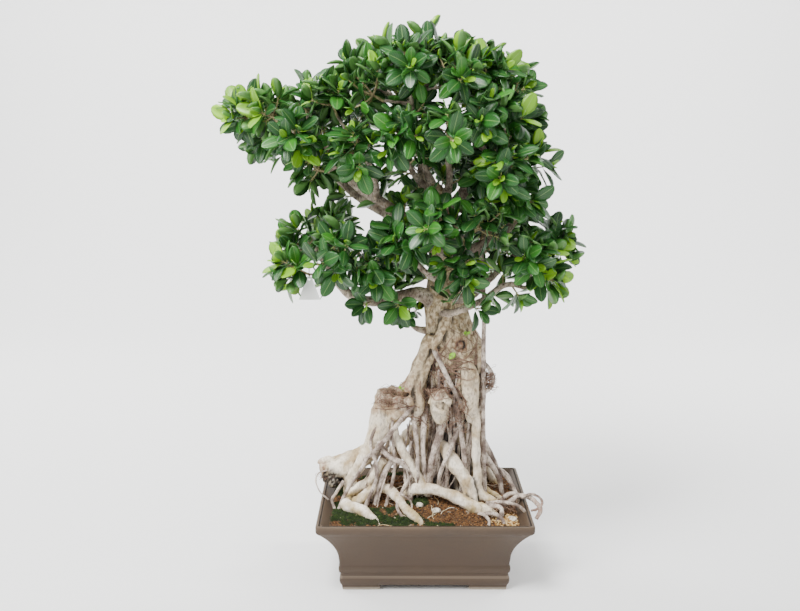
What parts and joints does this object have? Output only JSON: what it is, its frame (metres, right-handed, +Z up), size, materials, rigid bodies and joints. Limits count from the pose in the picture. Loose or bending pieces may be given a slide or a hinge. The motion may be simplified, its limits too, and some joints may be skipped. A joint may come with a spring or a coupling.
{
  "type": "ficus bonsai in a pot",
  "caption": "Ficus bonsai with exposed roots, two leafy tiers and a blank hang card, standing in a shallow flared ceramic tray pot on corner feet.",
  "frame": {"origin": "on the ground, under the middle of the whole object's bounding box", "axes": "+Z up along the trunk; the front faces -Y, so the pot's long side runs along X"},
  "size_m": [0.8544, 0.5074, 1.3145],
  "materials": {
    "matte_ceramic": "matte unglazed brown ceramic",
    "net_plastic": "matte black plastic",
    "soil": "granular potting soil",
    "bark": "living bark, rough",
    "pebble": "pale, matte",
    "leaves": "living leaves, glossy, on tan twigs",
    "card": "smooth white, blank",
    "tie_wire": "dark thin wire"
  },
  "bodies": {
    "root": {"pot": "matte_ceramic", "drain_net_left": "net_plastic", "drain_net_right": "net_plastic", "soil": "soil", "trunk_and_roots": "bark", "stone_1": "pebble", "stone_2": "pebble", "stone_3": "pebble", "spray_arm_1": "leaves", "spray_arm_2": "leaves", "spray_arm_3": "leaves", "spray_arm_4": "leaves", "spray_arm_5": "leaves", "spray_arm_6": "leaves", "spray_arm_7": "leaves", "spray_arm_8": "leaves", "spray_crown_1": "leaves", "spray_crown_2": "leaves", "spray_crown_3": "leaves", "spray_crown_4": "leaves", "spray_crown_5": "leaves", "spray_crown_6": "leaves", "spray_crown_7": "leaves", "spray_crown_8": "leaves", "spray_crown_9": "leaves", "spray_crown_10": "leaves", "spray_crown_11": "leaves", "spray_crown_12": "leaves", "spray_middle_1": "leaves", "spray_middle_2": "leaves", "spray_middle_3": "leaves", "spray_middle_4": "leaves", "spray_middle_5": "leaves", "spray_middle_6": "leaves", "spray_middle_7": "leaves", "spray_middle_8": "leaves", "spray_middle_9": "leaves", "spray_middle_10": "leaves", "spray_middle_11": "leaves", "spray_middle_12": "leaves", "spray_low_left_1": "leaves", "spray_low_left_2": "leaves", "spray_low_left_3": "leaves", "spray_low_left_4": "leaves", "spray_low_left_5": "leaves", "spray_low_left_6": "leaves", "spray_low_left_7": "leaves", "spray_low_middle_1": "leaves", "spray_low_middle_2": "leaves", "spray_low_middle_3": "leaves", "spray_low_middle_4": "leaves", "spray_low_middle_5": "leaves", "spray_low_middle_6": "leaves", "spray_low_right_1": "leaves", "spray_low_right_2": "leaves", "spray_low_right_3": "leaves", "blank_card": "card", "card_tie": "tie_wire"}
  },
  "joints": []
}
